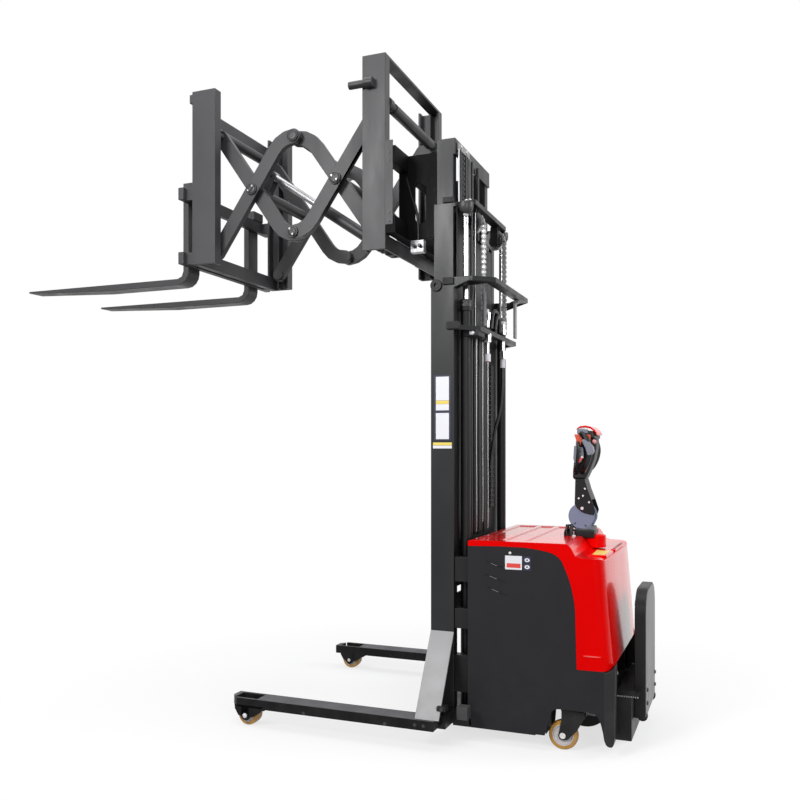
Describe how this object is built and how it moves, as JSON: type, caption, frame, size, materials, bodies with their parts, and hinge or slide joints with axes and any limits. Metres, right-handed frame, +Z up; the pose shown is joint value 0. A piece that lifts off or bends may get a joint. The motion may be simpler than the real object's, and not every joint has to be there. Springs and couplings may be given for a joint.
{
  "type": "electric pallet stacker",
  "caption": "Walk-behind electric pallet stacker with straddle legs, a tall telescopic mast, a scissor reach that carries the forks, and a fold-up rider platform.",
  "frame": {"origin": "on the floor, on the centre line, at the front plane of the mast", "axes": "+X along the forks towards their tips, +Y to the operator's left, +Z up"},
  "size_m": [3.359, 1.24, 3.137],
  "materials": {
    "painted_black": "satin black powder coat",
    "painted_dark": "satin dark grey paint",
    "brace_grey": "light grey paint",
    "hood_red": "glossy red moulded cover",
    "apron_black": "matt black moulded cover",
    "steel": "machined steel",
    "chrome_rod": "polished chrome",
    "cast_grey": "cast grey housing",
    "wheel_hub": "pale moulded hub",
    "poly_tyre": "amber polyurethane",
    "drive_tread": "black polyurethane",
    "mat_rubber": "ribbed rubber",
    "battery_case": "battery case",
    "yoke_blue": "blue-grey paint",
    "head_plastic": "black moulded tiller head"
  },
  "bodies": {
    "chassis": {"straddle_legs": "painted_black", "load_axles": "steel", "base_frame": "painted_black", "brace_plates": "brace_grey", "brace_webs": "painted_black", "outer_mast": "painted_dark", "hose_bar": "painted_dark", "lift_barrels": "painted_black", "side_panels": "painted_black", "hood": "hood_red", "rear_apron": "apron_black", "step_base": "painted_black", "battery": "battery_case"},
    "load_wheel_left": {"load_hub_left": "wheel_hub", "load_tyre_left": "poly_tyre"},
    "load_wheel_right": {"load_hub_right": "wheel_hub", "load_tyre_right": "poly_tyre"},
    "caster_left": {"caster_fork_left": "painted_black"},
    "caster_right": {"caster_fork_right": "painted_black"},
    "caster_wheel_left": {"caster_hub_left": "wheel_hub", "caster_tyre_left": "poly_tyre"},
    "caster_wheel_right": {"caster_hub_right": "wheel_hub", "caster_tyre_right": "poly_tyre"},
    "drive_head": {"drive_unit": "cast_grey", "tiller_yoke": "yoke_blue"},
    "drive_wheel": {"drive_hub": "cast_grey", "drive_tyre": "drive_tread"},
    "tiller": {"tiller_arm": "painted_black", "tiller_head": "head_plastic"},
    "footboard": {"platform": "painted_dark", "platform_mat": "mat_rubber"},
    "mast_middle": {"mid_mast": "painted_dark", "lift_rods": "chrome_rod", "chain_pulleys": "steel"},
    "mast_inner": {"inner_mast": "painted_dark"},
    "reach_carriage": {"carriage": "painted_black", "rear_reach_frame": "painted_dark"},
    "arms_rear_lower": {"rear_lower_arms": "painted_dark"},
    "arms_rear_upper": {"rear_upper_arms": "painted_dark"},
    "arms_front_upper": {"front_upper_arms": "painted_dark"},
    "arms_front_lower": {"front_lower_arms": "painted_dark"},
    "fork_carriage": {"fork_frame": "painted_dark", "forks": "painted_black"},
    "reach_cylinder": {"reach_barrel": "painted_black"},
    "reach_piston": {"reach_rod": "chrome_rod"}
  },
  "joints": [
    {"name": "mid_mast_lift", "type": "slide", "parent": "chassis", "child": "mast_middle", "axis": [0, 0, 1], "range_m": [-0.38, 1.2]},
    {"name": "inner_mast_lift", "type": "slide", "parent": "mast_middle", "child": "mast_inner", "axis": [0, 0, 1], "range_m": [-0.38, 1.2]},
    {"name": "carriage_lift", "type": "slide", "parent": "mast_inner", "child": "reach_carriage", "axis": [0, 0, 1], "range_m": [-1.36, 0]},
    {"name": "reach", "type": "hinge", "parent": "reach_carriage", "child": "arms_rear_lower", "pos_m": [0.29, 0, 2.305], "axis": [0, -1, 0], "range_deg": [0, 25]},
    {"name": "rear_arms_cross", "type": "hinge", "parent": "arms_rear_lower", "child": "arms_rear_upper", "pos_m": [0.5, 0, 2.605], "axis": [0, -1, 0], "range_deg": [-50, 0]},
    {"name": "top_knuckle", "type": "hinge", "parent": "arms_rear_lower", "child": "arms_front_upper", "pos_m": [0.734, 0, 2.843], "axis": [0, -1, 0], "range_deg": [-50, 0]},
    {"name": "front_arms_cross", "type": "hinge", "parent": "arms_front_upper", "child": "arms_front_lower", "pos_m": [0.968, 0, 2.605], "axis": [0, -1, 0], "range_deg": [0, 50]},
    {"name": "fork_frame_pivot", "type": "hinge", "parent": "arms_front_upper", "child": "fork_carriage", "pos_m": [1.178, 0, 2.305], "axis": [0, -1, 0], "range_deg": [0, 25]},
    {"name": "reach_cylinder_pivot", "type": "hinge", "parent": "reach_carriage", "child": "reach_cylinder", "pos_m": [0.265, 0.2, 2.255], "axis": [0, -1, 0], "range_deg": [0, 25]},
    {"name": "reach_piston_stroke", "type": "slide", "parent": "reach_cylinder", "child": "reach_piston", "axis": [0.8264, 0, 0.5631], "range_m": [-0.25, 0]},
    {"name": "load_wheel_left_spin", "type": "hinge", "parent": "chassis", "child": "load_wheel_left", "pos_m": [0.828, 0.568, 0.051], "axis": [0, 1, 0], "continuous": true},
    {"name": "load_wheel_right_spin", "type": "hinge", "parent": "chassis", "child": "load_wheel_right", "pos_m": [0.828, -0.568, 0.051], "axis": [0, 1, 0], "continuous": true},
    {"name": "caster_left_swivel", "type": "hinge", "parent": "chassis", "child": "caster_left", "pos_m": [-0.652, 0.36, 0.15], "axis": [0, 0, 1], "continuous": true},
    {"name": "caster_right_swivel", "type": "hinge", "parent": "chassis", "child": "caster_right", "pos_m": [-0.652, -0.36, 0.15], "axis": [0, 0, 1], "continuous": true},
    {"name": "caster_left_spin", "type": "hinge", "parent": "caster_left", "child": "caster_wheel_left", "pos_m": [-0.612, 0.36, 0.0635], "axis": [0, 1, 0], "continuous": true},
    {"name": "caster_right_spin", "type": "hinge", "parent": "caster_right", "child": "caster_wheel_right", "pos_m": [-0.612, -0.36, 0.0635], "axis": [0, 1, 0], "continuous": true},
    {"name": "steering", "type": "hinge", "parent": "chassis", "child": "drive_head", "pos_m": [-0.645, 0, 0.2], "axis": [0, 0, 1], "range_deg": [-90, 90]},
    {"name": "drive_wheel_spin", "type": "hinge", "parent": "drive_head", "child": "drive_wheel", "pos_m": [-0.645, 0, 0.115], "axis": [0, 1, 0], "continuous": true},
    {"name": "tiller_tilt", "type": "hinge", "parent": "drive_head", "child": "tiller", "pos_m": [-0.628, 0, 0.988], "axis": [0, -1, 0], "range_deg": [0, 75]},
    {"name": "platform_fold", "type": "hinge", "parent": "chassis", "child": "footboard", "pos_m": [-0.905, 0, 0.128], "axis": [0, -1, 0], "range_deg": [0, 90]}
  ],
  "couplings": [
    {"joint": "inner_mast_lift", "follows": "mid_mast_lift", "ratio": 1},
    {"joint": "rear_arms_cross", "follows": "reach", "ratio": -2},
    {"joint": "top_knuckle", "follows": "reach", "ratio": -2},
    {"joint": "front_arms_cross", "follows": "reach", "ratio": 2},
    {"joint": "fork_frame_pivot", "follows": "reach", "ratio": 1},
    {"joint": "reach_cylinder_pivot", "follows": "reach", "ratio": 0.95},
    {"joint": "reach_piston_stroke", "follows": "reach", "m_per_rad": -0.432}
  ]
}
